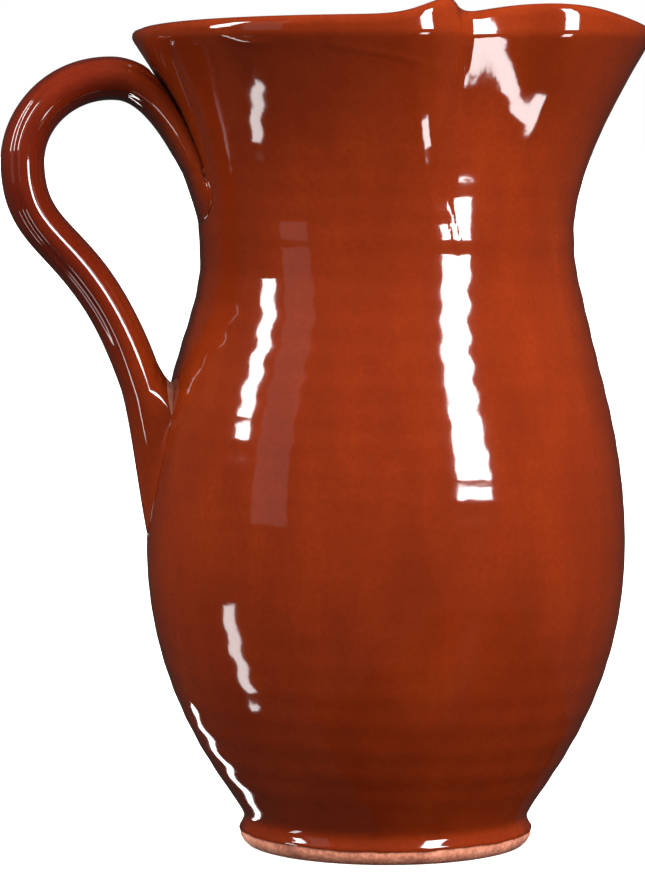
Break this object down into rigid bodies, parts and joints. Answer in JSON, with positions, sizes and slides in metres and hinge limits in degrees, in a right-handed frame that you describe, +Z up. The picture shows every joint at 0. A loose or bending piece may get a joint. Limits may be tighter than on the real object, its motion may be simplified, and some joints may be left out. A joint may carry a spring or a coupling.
{
  "type": "ceramic pitcher",
  "caption": "Glazed earthenware pitcher with a swelling belly, a flared mouth pinched into a wide spout, and a pulled strap handle.",
  "frame": {"origin": "centre of the flat base", "axes": "+Z up, +X towards the spout, the handle on the -X side"},
  "size_m": [0.1972, 0.1536, 0.2546],
  "materials": {
    "clay": "unglazed fired red earthenware",
    "slip": "smeared soft clay, fired",
    "glaze": "clear honey-brown gloss over red clay"
  },
  "bodies": {
    "root": {"thrown_body": "clay", "strap_handle": "clay", "upper_slip_joint": "slip", "lower_slip_joint": "slip", "outside_glaze": "glaze", "inside_glaze": "glaze", "handle_glaze": "glaze"}
  },
  "joints": []
}
